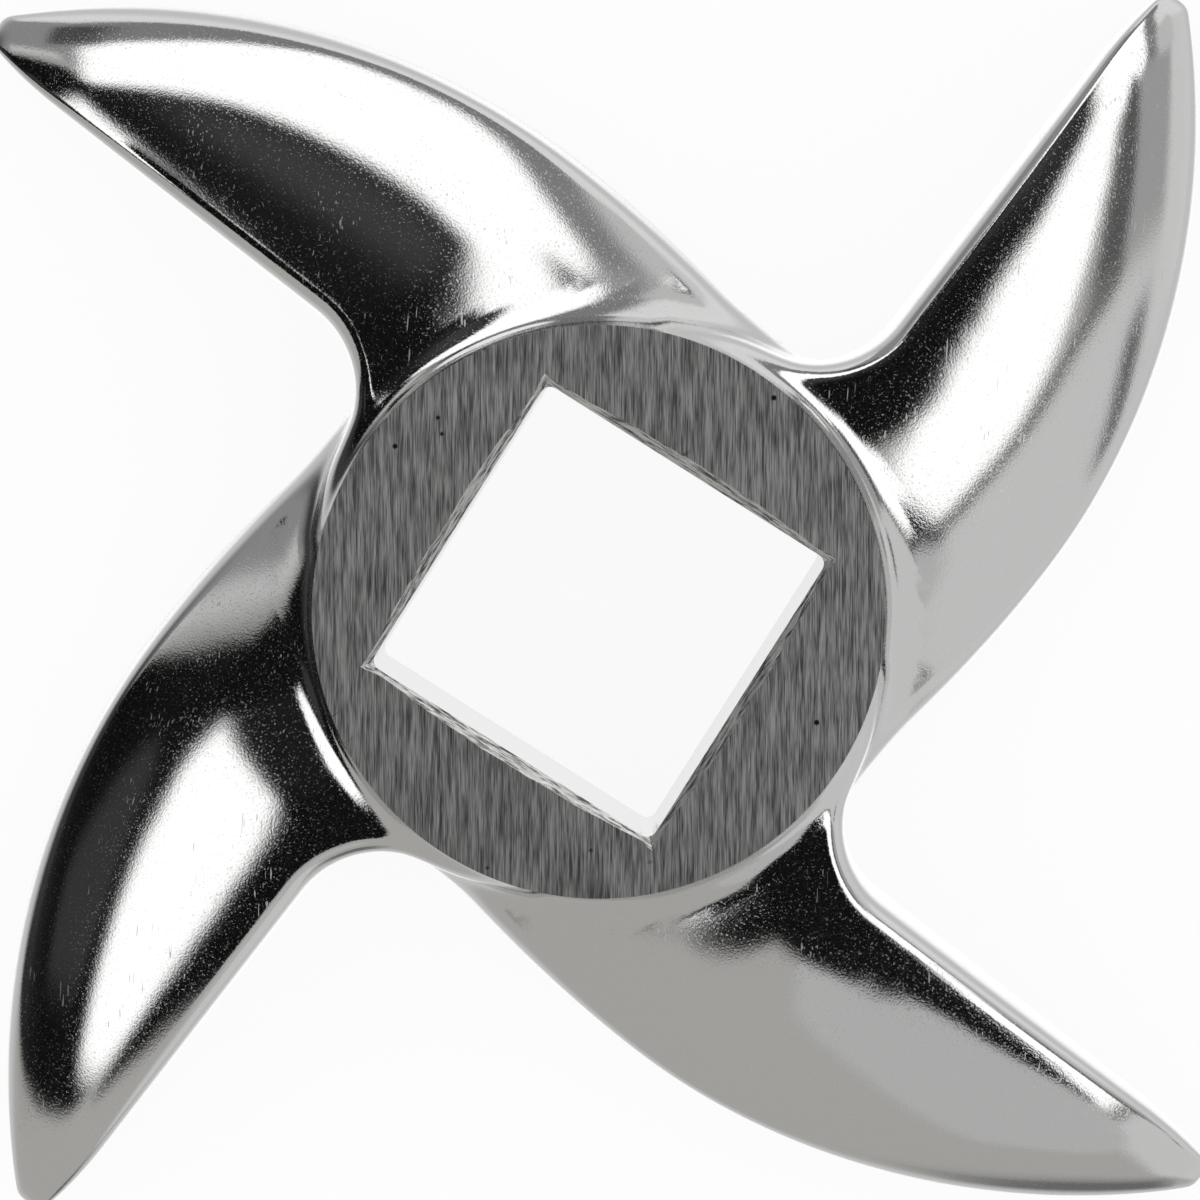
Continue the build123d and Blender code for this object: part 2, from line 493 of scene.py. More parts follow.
def model_bore_cutter(s, chance):
    """The square bore, with the bevel filed by hand along its mouth."""
    line = square_outline(s.bore, s.bore_corner, SIDE_POINTS, CORNER_POINTS)
    count = len(line)
    place = (np.arange(count) % (SIDE_POINTS + CORNER_POINTS)) / SIDE_POINTS
    bulge = np.where(place <= 1, 1 - (2 * place - 1) ** 2, 0)
    strokes = np.tile(chance.normal(0, 1, count), 3)
    strokes = np.convolve(strokes, np.ones(3) / 3, "same")[count : 2 * count]
    width = s.bevel_least + (s.bevel - s.bevel_least) * bulge + STROKE_DEPTH * strokes
    nearness = np.clip((np.abs(line).min(1) - s.bore / 2 + NICK_REACH) / NICK_REACH, 0, 1) ** 3
    width = np.maximum(width, BEVEL_NARROWEST) + s.corner_nick * nearness
    outward = line / np.abs(line).max(1)[:, None]
    mouth = line + outward * width[:, None]
    over = line + outward * (width + BORE_CLEARANCE)[:, None]
    loops = [
        np.column_stack([line, np.full(count, BORE_BOTTOM)]),
        np.column_stack([line, s.hub_height - width]),
        np.column_stack([mouth, np.full(count, s.hub_height)]),
        np.column_stack([over, np.full(count, s.hub_height + BORE_CLEARANCE)]),
    ]
    cutter = start_disc(count, s.bore / 2)
    for _ in loops[1:]:
        bpy.ops.mesh.extrude_region_move(TRANSFORM_OT_translate={"value": (0, 0, 1)})
    bpy.ops.object.mode_set(mode="OBJECT")
    points = points_of(cutter.data)
    level = np.round(points[:, 2]).astype(int)
    angle = np.arctan2(points[:, 1], points[:, 0])
    start = math.atan2(line[0][1], line[0][0])
    for number, loop in enumerate(loops):
        ring = np.nonzero(level == number)[0]
        after = np.mod(angle[ring] - start + math.pi / count, 2 * math.pi)
        points[ring[np.argsort(after)]] = loop
    put_points(cutter.data, points)
    bpy.ops.object.mode_set(mode="EDIT")
    face_outwards()
    return cutter


def model_relief_cutter(s):
    """What is relieved behind the lands: a block for every arm, less the round hub ring."""
    blocks = []
    size = Matrix.Diagonal((BLOCK_LENGTH, BLOCK_WIDTH, s.relief + BLOCK_DEPTH, 1))
    along = BLOCK_START + BLOCK_LENGTH / 2
    across = -s.edge_offset - s.land - BLOCK_WIDTH / 2
    place = Matrix.Translation((along, across, (s.relief - BLOCK_DEPTH) / 2))
    for k in range(ARMS):
        select_none()
        bpy.ops.mesh.primitive_cube_add(size=1, location=(0, 0, 0))
        block = bpy.context.object
        block.data.transform(arm_turn(s, k) @ place @ size)
        blocks.append(block)
    for block in blocks[1:]:
        combine(blocks[0], block, "UNION")
    select_none()
    bpy.ops.mesh.primitive_cylinder_add(
        vertices=ROUND_POINTS, radius=s.hub_foot + s.ring, depth=RING_DEPTH, location=(0, 0, 0)
    )
    combine(blocks[0], bpy.context.object, "DIFFERENCE")
    return blocks[0]


class Skin:
    """The knife's curved skin as a distance field, with the arms and the hub melted together."""

    def __init__(self, s, rows):
        self.s = s
        low, high = rows[:, :1].copy(), rows[:, -1:].copy()
        low[..., 2] = high[..., 2] = SKIRT_LEVEL
        shell = np.concatenate([low, rows, high], 1)
        n_rows, n_cols = shell.shape[:2]
        ids = np.arange(n_rows * n_cols).reshape(n_rows, n_cols)
        a, b, c, d = ids[:-1, :-1], ids[:-1, 1:], ids[1:, 1:], ids[1:, :-1]
        halves = [np.stack(corners, -1).reshape(-1, 3) for corners in ((a, b, c), (a, c, d))]
        self.faces = np.concatenate(halves)
        outward = np.cross(np.gradient(shell, axis=1), np.gradient(shell, axis=0))
        outward /= np.maximum(np.linalg.norm(outward, axis=2), TINY_LENGTH)[..., None]
        if outward[n_rows // 2, n_cols // 2, 2] < 0:
            outward = -outward
        outward = outward.reshape(-1, 3)
        self.arms = []
        for k in range(ARMS):
            turn = np.array(arm_turn(s, k, 3))
            points = shell.reshape(-1, 3) @ turn.T
            tree = BVHTree.FromPolygons(points.tolist(), self.faces.tolist())
            self.arms.append((tree, points, outward @ turn.T))

    def arm(self, k, places):
        """Signed distances to arm k, and its outward directions."""
        tree, points, outward = self.arms[k]
        far = np.full(len(places), OUT_OF_REACH)
        way = np.tile((0.0, 0.0, 1.0), (len(places), 1))
        for i, place in enumerate(places):
            spot, _, face, gap = tree.find_nearest(Vector(place), SEARCH_REACH)
            if spot is None:
                continue
            corners = self.faces[face]
            a, b, c = points[corners]
            u, v, w = b - a, c - a, np.array(spot) - a
            uu, uv, vv, wu, wv = u @ u, u @ v, v @ v, w @ u, w @ v
            area = uu * vv - uv * uv
            p, q = 0.0, 0.0
            if area > TINY_AREA:
                p, q = (vv * wu - uv * wv) / area, (uu * wv - uv * wu) / area
            direction = np.array([1 - p - q, p, q]) @ outward[corners]
            way[i] = direction / np.linalg.norm(direction)
            far[i] = math.copysign(gap, (place - np.array(spot)) @ way[i]) if gap > TINY_GAP else 0.0
        return far, way

    def hub(self, places):
        """Signed distances to the hub's wall, and its outward directions."""
        r, z = np.hypot(places[:, 0], places[:, 1]), places[:, 2]
        wider = hub_radius(self.s, z + SLOPE_STEP) - hub_radius(self.s, z - SLOPE_STEP)
        slope = wider / (2 * SLOPE_STEP)
        size = np.sqrt(1 + slope**2)
        outward = np.stack([places[:, 0] / r, places[:, 1] / r, -slope], 1)
        return (r - hub_radius(self.s, z)) / size, outward / size[:, None]

    def measure(self, places):
        """Melted distance, its direction, and the distance without melting."""
        f, g = self.hub(places)
        hard = f.copy()
        for k in range(ARMS):
            d, n = self.arm(k, places)
            hard = np.minimum(hard, d)
            h = np.clip(0.5 + 0.5 * (f - d) / self.s.blend, 0, 1)
            f = f * (1 - h) + d * h - self.s.blend * h * (1 - h)
            g = g * (1 - h)[:, None] + n * h[:, None]
        return f, g, hard


def melt_into_hub(s, body, skin):
    """Moves the skin near the hub out to the melted surface, so that the arms flow into the hub."""
    points = points_of(body.data)
    r = np.hypot(points[:, 0], points[:, 1])
    low = points[:, 2] < s.hub_height - MELT_BELOW_FACE
    near = np.nonzero((r > MELT_FROM) & (r < MELT_TO) & low)[0]
    # Points inside the plate side stay: a little over it they are deep inside the skin
    probes = points[near]
    probes[:, 2] = np.maximum(probes[:, 2], PROBE_LEVEL)
    near = near[skin.measure(probes)[2] > -PROBE_DEPTH]
    places = points[near]
    foot = places[:, 2] < FOOT_LEVEL
    for _ in range(MELT_PASSES):
        f, g, _ = skin.measure(places)
        g[foot, 2] = 0
        pull = np.clip(f / np.maximum((g * g).sum(1), TINY_SLOPE), -MELT_STEP, MELT_STEP)
        places = places - pull[:, None] * g
        places[:, 2] = np.clip(places[:, 2], 0, s.hub_height - MELT_RIM_GAP)
    points[near] = places
    put_points(body.data, points)


def sort_faces(s, body):
    """The finish of every face."""
    kinds = np.full(len(body.data.polygons), POLISHED)
    for face in body.data.polygons:
        x, y, z = face.center
        up = face.normal.z
        inner = max(abs(x), abs(y)) < s.bore / 2 + 2 * s.bevel
        if up > FLAT_SLOPE and z > s.hub_height - FLAT_GAP:
            kinds[face.index] = GROUND
        elif inner and z > s.hub_height - 2 * s.bevel and up > BEVEL_SLOPE:
            kinds[face.index] = FILED
        elif inner and abs(up) < BORE_SLOPE:
            kinds[face.index] = BORE
        elif up < PLATE_SLOPE and z < s.relief / 4:
            kinds[face.index] = GROUND
        elif up < PLATE_SLOPE and z < s.relief + RELIEF_SLACK:
            kinds[face.index] = RELIEVED
    return kinds


def smooth_skin(body, skin, kinds):
    """Shades the curved skin by its true direction, and keeps the flats flat."""
    mesh = body.data
    f, g, _ = skin.measure(points_of(mesh))
    g /= np.linalg.norm(g, axis=1)[:, None]
    directions = np.zeros((len(mesh.loops), 3))
    for face in mesh.polygons:
        normal = np.array(face.normal)
        polished = kinds[face.index] == POLISHED
        for loop, vertex in zip(face.loop_indices, face.vertices):
            curved = polished and abs(f[vertex]) < SKIN_DEPTH and g[vertex] @ normal > SKIN_TURN
            directions[loop] = g[vertex] if curved else normal
    mesh.polygons.foreach_set("use_smooth", np.ones(len(mesh.polygons), bool))
    mesh.normals_split_custom_set(directions.tolist())


# ---- finishes

# Where a mix node keeps its two values and its result
MIX_SOCKETS = {"RGBA": (6, 7, 2), "FLOAT": (2, 3, 0)}

# How much paler and darker than its colour the lines of a face are
GROUND_PALE, GROUND_DARK = 1.8, 0.3
FILED_PALE, FILED_DARK = 1.35, 0.2

# Marks in the polish: how much the haze counts, and how rough the marks are
HAZE = 0.6
MARK_ROUGHNESS = 0.42

# Lines, scratches and pores of the ground faces
FINE_SHARE, BROAD_SHARE = 0.6, 0.4
SCRATCH_TURN = VIEW_TURN - 1.0
SCRATCH_STRENGTH = 0.7
PORE_GREY = 0.03

FILED_ROUGHNESS = 0.3
BORE_ROUGHNESS = 0.22
RELIEVED_ROUGHNESS = 0.34


def grey(light):
    """A colour without a tint."""
    return (light, light, light, 1)


def shaded(colour, factor):
    """A colour made paler or darker."""
    return (*(min(1.0, factor * part) for part in colour), 1)


class Nodes:
    """A short way to add and wire shader nodes."""

    def __init__(self, tree):
        self.tree = tree
        tree.nodes.clear()

    def add(self, kind, **values):
        """A new node, with some of its settings."""
        node = self.tree.nodes.new(kind)
        for name, value in values.items():
            setattr(node, name, value)
        return node

    def wire(self, value, socket):
        """Wires an output to a socket, or sets the socket to a plain value."""
        if isinstance(value, bpy.types.NodeSocket):
            self.tree.links.new(value, socket)
        else:
            socket.default_value = value

    def math(self, operation, *values):
        """Result of a sum on one or two values."""
        node = self.add("ShaderNodeMath", operation=operation)
        for value, socket in zip(values, node.inputs):
            self.wire(value, socket)
        return node.outputs[0]

    def both(self, first, second):
        """Product of two masks or strengths."""
        return self.math("MULTIPLY", first, second)

    def ramp(self, value, low, high, start=0.0, end=1.0):
        """Goes smoothly from start to end while the value goes from low to high."""
        node = self.add("ShaderNodeMapRange", interpolation_type="SMOOTHSTEP")
        for item, socket in zip((value, low, high, start, end), node.inputs):
            self.wire(item, socket)
        return node.outputs[0]

    def mix(self, amount, first, second, kind="RGBA"):
        """Blend of two colours or values."""
        node = self.add("ShaderNodeMix", data_type=kind)
        a, b, result = MIX_SOCKETS[kind]
        self.wire(amount, node.inputs["Factor"])
        self.wire(first, node.inputs[a])
        self.wire(second, node.inputs[b])
        return node.outputs[result]

    def mix_shaders(self, amount, first, second):
        """Blend of the shaders of two nodes."""
        node = self.add("ShaderNodeMixShader")
        for item, socket in zip((amount, first.outputs[0], second.outputs[0]), node.inputs):
            self.wire(item, socket)
        return node

    def noise(self, vector, scale, detail=2.0, roughness=0.5):
        """Cloudy noise between 0 and 1."""
        node = self.add("ShaderNodeTexNoise")
        self.wire(vector, node.inputs["Vector"])
        node.inputs["Scale"].default_value = scale
        node.inputs["Detail"].default_value = detail
        node.inputs["Roughness"].default_value = roughness
        return node.outputs[0]

    def spots(self, vector, scale):
        """Distance to the nearest of many scattered points."""
        node = self.add("ShaderNodeTexVoronoi")
        self.wire(vector, node.inputs["Vector"])
        node.inputs["Scale"].default_value = scale
        return node.outputs["Distance"]

    def mapped(self, turn=0.0, stretch=(1, 1, 1), kind="Object"):
        """Coordinates on axes turned about Z, with features stretched along them."""
        place = self.add("ShaderNodeTexCoord")
        node = self.add("ShaderNodeMapping", vector_type="TEXTURE")
        self.tree.links.new(place.outputs[kind], node.inputs["Vector"])
        node.inputs["Rotation"].default_value = (0, 0, turn)
        node.inputs["Scale"].default_value = stretch
        return node.outputs[0]

    def bump(self, height, depth_mm, strength, normal=None):
        """Surface direction over fine relief."""
        node = self.add("ShaderNodeBump")
        node.inputs["Strength"].default_value = strength
        node.inputs["Distance"].default_value = depth_mm * MM
        self.wire(height, node.inputs["Height"])
        if normal is not None:
            self.wire(normal, node.inputs["Normal"])
        return node.outputs[0]


def new_material(name):
    """A new material, its nodes and its output."""
    made = bpy.data.materials.new(name)
    made.use_nodes = True
    nodes = Nodes(made.node_tree)
    return made, nodes, nodes.add("ShaderNodeOutputMaterial")


def metal(name, colour, roughness):
    """A new metal, its nodes and its shader."""
    made, nodes, output = new_material(name)
    shader = nodes.add("ShaderNodeBsdfPrincipled")
    shader.inputs["Metallic"].default_value = 1.0
    shader.inputs["Base Color"].default_value = (*colour, 1)
    shader.inputs["Roughness"].default_value = roughness
    nodes.wire(shader.outputs[0], output.inputs["Surface"])
    return made, nodes, shader


def polished_steel(look):
    """Polished casting: fine grain that frays the reflections, pin holes and hairline scratches."""
    made, nodes, shader = metal("polished_steel", look.steel, look.steel_roughness)
    place = nodes.mapped()
    swell = nodes.bump(nodes.noise(place, scale=420.0, detail=1.0), depth_mm=0.05, strength=0.12)
    grain = nodes.noise(place, scale=11000.0, roughness=0.6)
    normal = nodes.bump(grain, depth_mm=0.05, strength=0.07, normal=swell)
    holes = nodes.both(
        nodes.ramp(nodes.spots(place, scale=1900.0), low=0.055, high=0.025),
        nodes.ramp(nodes.noise(place, scale=300.0, detail=1.0), low=0.52, high=0.60),
    )
    streaks = nodes.noise(nodes.mapped(turn=0.5, stretch=(1, 26, 1)), scale=15000.0, detail=0.0)
    hairs = nodes.both(
        nodes.ramp(streaks, low=0.72, high=0.76),
        nodes.ramp(nodes.noise(place, scale=700.0, detail=0.0), low=0.60, high=0.68),
    )
    haze = nodes.both(nodes.ramp(grain, low=0.50, high=0.72), HAZE)
    marks = nodes.math("MAXIMUM", nodes.math("MAXIMUM", holes, hairs), haze)
    roughness = nodes.ramp(marks, low=0.0, high=1.0, start=look.steel_roughness, end=MARK_ROUGHNESS)
    nodes.wire(roughness, shader.inputs["Roughness"])
    nodes.wire(normal, shader.inputs["Normal"])
    return made


def ground_steel(look):
    """Ground flat: straight fine grinding lines, scratches across them and a few small pores."""
    made, nodes, shader = metal("ground_steel", look.ground, look.ground_roughness)
    fine = nodes.noise(nodes.mapped(VIEW_TURN, stretch=(1, 36, 1)), scale=20000.0, roughness=0.8)
    broad = nodes.noise(nodes.mapped(VIEW_TURN, stretch=(1, 14, 1)), scale=4500.0, roughness=0.7)
    line = nodes.math("ADD", nodes.both(fine, FINE_SHARE), nodes.both(broad, BROAD_SHARE))
    dark, pale = shaded(look.ground, GROUND_DARK), shaded(look.ground, GROUND_PALE)
    tone = nodes.mix(nodes.ramp(line, low=0.36, high=0.64), dark, pale)
    place = nodes.mapped()
    pores = nodes.both(
        nodes.ramp(nodes.spots(place, scale=700.0), low=0.10, high=0.05),
        nodes.ramp(nodes.noise(place, scale=300.0, detail=1.0), low=0.47, high=0.53),
    )
    across = nodes.noise(nodes.mapped(SCRATCH_TURN, stretch=(1, 60, 1)), scale=5200.0, detail=0.0)
    scratch = nodes.both(
        nodes.ramp(across, low=0.74, high=0.78),
        nodes.ramp(nodes.noise(place, scale=180.0, detail=0.0), low=0.55, high=0.6),
    )
    marks = nodes.math("MAXIMUM", pores, nodes.both(scratch, SCRATCH_STRENGTH))
    nodes.wire(nodes.mix(marks, tone, grey(PORE_GREY)), shader.inputs["Base Color"])
    nodes.wire(nodes.bump(line, depth_mm=0.02, strength=0.35), shader.inputs["Normal"])
    return made


def filed_steel(look):
    """Bevel filed by hand along each side of the bore: strokes with dark nicks between them."""
    made, nodes, shader = metal("filed_steel", look.filed, FILED_ROUGHNESS)
    split = nodes.add("ShaderNodeSeparateXYZ")
    nodes.wire(nodes.mapped(), split.inputs[0])
    x, y = (nodes.math("ABSOLUTE", split.outputs[axis]) for axis in (0, 1))
    strokes = [
        nodes.noise(nodes.mapped(stretch=stretch), scale=9000.0, detail=3.0, roughness=0.7)
        for stretch in ((9, 1, 1), (1, 9, 1))
    ]
    stroke = nodes.mix(nodes.math("GREATER_THAN", x, y), *strokes, kind="FLOAT")
    dark, pale = shaded(look.filed, FILED_DARK), shaded(look.filed, FILED_PALE)
    tone = nodes.mix(nodes.ramp(stroke, low=0.36, high=0.56), dark, pale)
    nodes.wire(tone, shader.inputs["Base Color"])
    nodes.wire(nodes.bump(stroke, depth_mm=0.1, strength=0.5), shader.inputs["Normal"])
    return made


def bore_steel(look):
    """Broached wall of the bore: fine lines along the bore."""
    made, nodes, shader = metal("bore_steel", look.steel, BORE_ROUGHNESS)
    lines = nodes.noise(nodes.mapped(stretch=(1, 1, 20)), scale=4000.0, detail=3.0)
    nodes.wire(nodes.bump(lines, depth_mm=0.03, strength=0.3), shader.inputs["Normal"])
    return made


def relieved_steel(look):
    """Cast surface left behind the lands: dull and slightly uneven."""
    made, nodes, shader = metal("relieved_steel", look.filed, RELIEVED_ROUGHNESS)
    cast = nodes.noise(nodes.mapped(), scale=1800.0, detail=5.0, roughness=0.6)
    nodes.wire(nodes.bump(cast, depth_mm=0.15, strength=0.35), shader.inputs["Normal"])
    return made


# ---- stage

# Patches of the room, on a flat map of the sky round the object: the middle is overhead, 1 is the horizon and
# more is below it, x is to the viewer's right and y is away from them. Each is a brightness, the softness of
# its border, and its corners, with no hollow side. Later ones lie over earlier ones. The ones called a panel
# are the soft light panels.
PATCHES = {
    "south_east_wall": (0.68, 0.06, [
        (0.24, -0.44), (0.41, -0.28), (0.57, -0.14), (0.75, -0.07), (5.0, 0.3), (5.0, -5.0), (0.5, -1.2)
    ]),
    "south_far": (0.17, 0.25, [(-0.1, -1.35), (0.7, -1.45), (2.0, -8.0), (-0.2, -8.0)]),
    "south_east_streak": (0.16, 0.04, [(0.86, -0.19), (1.02, -0.17), (1.02, -0.42), (0.93, -0.45)]),
    "north_wall": (0.3, 0.06, [(-5.0, 1.8), (-0.36, 0.56), (0.7, 0.3), (5.0, 2.0), (5.0, 6.0), (-5.0, 6.0)]),
    "north_far": (0.85, 0.1, [(-0.9, 1.5), (0.75, 0.66), (1.0, 0.45), (6.0, 1.5), (6.0, 6.0), (-3.0, 6.0)]),
    "east_wall": (0.4, 0.05, [(0.55, 0.45), (0.95, 0.55), (1.2, 0.5), (1.2, -0.04), (0.7, -0.08), (0.5, 0.05)]),
    "east_far": (0.72, 0.08, [(1.05, 0.9), (5.0, 3.0), (5.0, -0.5), (1.1, -0.3)]),
    "north_west_gleam": (0.62, 0.03, [(-0.36, 0.6), (-0.38, 0.7), (-0.95, 0.86), (-0.95, 0.74)]),
    "west_dark": (0.004, 0.03, [
        (-4.0, 1.4), (-0.9, 0.68), (-0.55, 0.6), (-0.36, 0.55), (-0.1, 0.2), (-0.3, -0.2), (-0.55, -0.31),
        (-0.75, -0.295), (-4.0, 0.0)
    ]),
    "west_far": (0.05, 0.4, [(-1.3, 1.2), (-1.3, -0.1), (-9.0, 0.6), (-9.0, 4.0)]),
    "west_band": (0.04, 0.04, [(-0.62, 0.33), (-0.95, 0.18), (-1.0, 0.0), (-0.66, -0.05), (-0.6, 0.1)]),
    "north_seam": (0.24, 0.05, [
        (-0.45, 0.9), (-0.35, 1.6), (0.1, 2.0), (0.55, 1.75), (0.78, 0.66), (0.8, 0.46), (0.66, 0.36),
        (0.2, 0.5)
    ]),
    "north_tip_shade": (0.08, 0.04, [(-0.45, 0.82), (-0.24, 0.9), (-0.2, 1.35), (-0.45, 1.35)]),
    "north_shade": (0.25, 0.03, [
        (0.54, 0.7), (0.62, 0.52), (0.67, 0.4), (0.76, 0.45), (0.78, 0.56), (0.67, 0.7)
    ]),
    "north_east_pale": (0.62, 0.04, [
        (0.745, 0.48), (0.73, 0.64), (1.1, 1.0), (1.25, 0.6), (0.95, 0.42), (0.8, 0.41)
    ]),
    "north_panel": (1.0, 0.02, [
        (-0.31, 0.44), (-0.29, 0.8), (-0.2, 0.93), (0.0, 1.08), (0.2, 1.13), (0.33, 1.0), (0.51, 0.76),
        (0.59, 0.52), (0.62, 0.38), (0.58, 0.31), (0.4, 0.16), (0.0, 0.2)
    ]),
    "east_panel": (1.0, 0.02, [
        (0.16, 0.0), (0.37, 0.44), (0.43, 0.27), (0.475, 0.13), (0.495, -0.04), (0.475, -0.18), (0.38, -0.29),
        (0.28, -0.41), (0.21, -0.46), (0.11, -0.25)
    ]),
    "east_dark": (0.11, 0.02, [
        (0.44, 0.33), (0.5, 0.12), (0.51, -0.1), (0.7, -0.08), (0.67, 0.06), (0.62, 0.2), (0.56, 0.32)
    ]),
    "seam_near": (0.09, 0.012, [(0.24, -0.46), (0.415, -0.275), (0.435, -0.295), (0.265, -0.485)]),
    "seam_middle": (0.09, 0.012, [(0.415, -0.275), (0.555, -0.115), (0.575, -0.135), (0.435, -0.295)]),
    "seam_far": (0.09, 0.012, [(0.55, -0.115), (0.72, -0.07), (0.73, -0.095), (0.565, -0.145)]),
    "west_panel": (1.0, 0.04, [
        (-0.05, 0.2), (-0.29, 0.38), (-0.42, 0.29), (-0.51, 0.18), (-0.56, 0.0), (-0.54, -0.18), (-0.42, -0.24),
        (-0.1, -0.1)
    ]),
    "overhead_north": (0.008, 0.03, [
        (-0.345, 0.32), (-0.335, 0.446), (-0.18, 0.49), (-0.045, 0.545), (0.09, 0.49), (0.22, 0.38),
        (0.31, 0.27), (0.24, 0.08), (-0.16, 0.08)
    ]),
    "overhead_glow": (0.05, 0.1, [
        (-0.15, 0.44), (0.0, 0.5), (0.2, 0.36), (0.28, 0.24), (0.2, 0.16), (0.0, 0.2), (-0.12, 0.3)
    ]),
    "overhead_south": (0.003, 0.03, [
        (-0.17, 0.12), (0.2, 0.12), (0.205, -0.05), (0.12, -0.17), (0.045, -0.22), (-0.02, -0.26),
        (-0.13, -0.24), (-0.2, -0.13), (-0.19, -0.02)
    ]),
    "south_west_dark": (0.003, 0.03, [
        (-0.05, 0.0), (-0.19, -0.02), (-0.29, -0.15), (-0.42, -0.25), (-0.38, -0.3), (-0.22, -0.24),
        (-0.1, -0.2)
    ]),
}
ROOM = 0.47
ROOM_TINT = (1, 0.985, 0.955)

# The ground under the object, in its reflections
UNDERFOOT_GREY = 0.6
UNDERFOOT_WHITE = 1.15

# Cards hung over the object, seen only in its reflections: brightness, height in mm, and corners in mm
# to the viewer's right and away from them
CARDS = {
    "grey_card": (0.54, 49.5, [
        (0, -36), (14, -30), (25, -33), (34, -36), (41, -42), (50, -54), (62, -75), (75, -110), (75, -200),
        (10, -200), (-5, -60)
    ]),
    "low_dark_card": (0.003, 17.5, [
        (-12.5, 11.5), (-14.5, 13), (-17.5, 16.2), (-21, 20.2), (-24.5, 23.2), (-26.5, 21.5), (-28, 14),
        (-27, 6), (-22, 3.5), (-17, 4.5), (-13, 7)
    ]),
    "dark_card": (0.003, 49.0, [
        (2, -14.5), (13, -17.5), (19, -20.5), (24, -24), (29, -28.5), (34, -33.5), (40, -40.5), (50, -54),
        (47, -55), (43, -50), (35, -44), (28, -40), (23.5, -36.5), (18, -34.5), (11, -38), (2, -36), (-6, -30)
    ]),
}

# The camera and its aim, in mm to the right, away and up
CAMERA_PLACE = (1.98, 10.27, 285.0)
CAMERA_AIM = (-0.03, 0.06, 0.0)
CAMERA_SENSOR = 36.0
CAMERA_NEAR = 0.01
CAMERA_FAR = 20.0

# How white the floor is to the eye, and how far it lies under the object, in metres
FLOOR_WHITENESS = 0.92
FLOOR_GAP = 0.00002


def on_stage(right, away, up):
    """A place given in mm to the viewer's right, away from them and up."""
    rightward = Vector((math.cos(VIEW_TURN), math.sin(VIEW_TURN), 0))
    farther = Vector((-math.sin(VIEW_TURN), math.cos(VIEW_TURN), 0))
    return (rightward * right + farther * away + Vector((0, 0, up))) * MM


def patch_mask(nodes, across, upward, corners, softness):
    """1 inside the corners' outline on the sky map, fading to 0 over its border."""
    middle = [sum(corner[axis] for corner in corners) / len(corners) for axis in (0, 1)]
    mask = None
    for (x0, y0), (x1, y1) in zip(corners, corners[1:] + corners[:1]):
        nx, ny = y1 - y0, x0 - x1
        size = math.hypot(nx, ny)
        nx, ny = nx / size, ny / size
        if (middle[0] - x0) * nx + (middle[1] - y0) * ny < 0:
            nx, ny = -nx, -ny
        inward = nodes.math("ADD", nodes.math("MULTIPLY", across, nx), nodes.math("MULTIPLY", upward, ny))
        limit = x0 * nx + y0 * ny
        side = nodes.ramp(inward, limit - softness, limit + softness)
        mask = side if mask is None else nodes.math("MULTIPLY", mask, side)
    return mask


def studio_world(look):
    """The light of the room: soft panels and darker walls in reflections, plain white for the rest."""
    world = bpy.data.worlds.new("studio")
    bpy.context.scene.world = world
    world.use_nodes = True
    nodes = Nodes(world.node_tree)
    output = nodes.add("ShaderNodeOutputWorld")
    split = nodes.add("ShaderNodeSeparateXYZ")
    nodes.wire(nodes.mapped(VIEW_TURN, kind="Generated"), split.inputs[0])
    height = split.outputs[2]
    lift = nodes.math("ADD", height, 1.0)
    across, upward = (nodes.math("DIVIDE", split.outputs[axis], lift) for axis in (0, 1))
    room = (*(ROOM * part for part in ROOM_TINT), 1)
    for name, (light, softness, corners) in PATCHES.items():
        if name.endswith("panel"):
            light *= look.panel_light
        room = nodes.mix(patch_mask(nodes, across, upward, corners, softness), room, grey(light))
    room = nodes.mix(nodes.ramp(height, low=-0.70, high=-0.93), room, grey(UNDERFOOT_GREY))
    room = nodes.mix(nodes.ramp(height, low=-0.955, high=-0.995), room, grey(UNDERFOOT_WHITE))
    seen, plain = nodes.add("ShaderNodeBackground"), nodes.add("ShaderNodeBackground")
    nodes.wire(room, seen.inputs["Color"])
    nodes.wire(grey(1), plain.inputs["Color"])
    rays = nodes.add("ShaderNodeLightPath")
    light = nodes.mix_shaders(rays.outputs["Is Glossy Ray"], plain, seen)
    nodes.wire(light.outputs[0], output.inputs["Surface"])


def floor_finish(look):
    """Pale floor, white to the eye, that keeps the soft shadow of the object and doesn't show in it."""
    made, nodes, output = new_material("pale_floor")
    diffuse = nodes.add("ShaderNodeBsdfDiffuse")
    diffuse.inputs["Color"].default_value = (*look.floor, 1)
    glow = nodes.add("ShaderNodeEmission")
    clear = nodes.add("ShaderNodeBsdfTransparent")
    rays = nodes.add("ShaderNodeLightPath")
    whiteness = nodes.math("MULTIPLY", rays.outputs["Is Camera Ray"], FLOOR_WHITENESS)
    eye = nodes.mix_shaders(whiteness, diffuse, glow)
    mirrored = nodes.mix_shaders(rays.outputs["Is Glossy Ray"], eye, clear)
    nodes.wire(mirrored.outputs[0], output.inputs["Surface"])
    return made


def hang_card(name, light, height, corners):
    """A card over the object that shows only in its reflections."""
    mesh = bpy.data.meshes.new(name)
    mesh.from_pydata([on_stage(x, y, height) for x, y in corners], [], [range(len(corners))])
    card = bpy.data.objects.new(name, mesh)
    bpy.context.scene.collection.objects.link(card)
    made, nodes, output = new_material(name)
    glow = nodes.add("ShaderNodeEmission")
    glow.inputs["Color"].default_value = grey(light)
    nodes.wire(glow.outputs[0], output.inputs["Surface"])
    mesh.materials.append(made)
    for kind in ("camera", "diffuse", "shadow", "transmission", "volume_scatter"):
        setattr(card, "visible_" + kind, False)


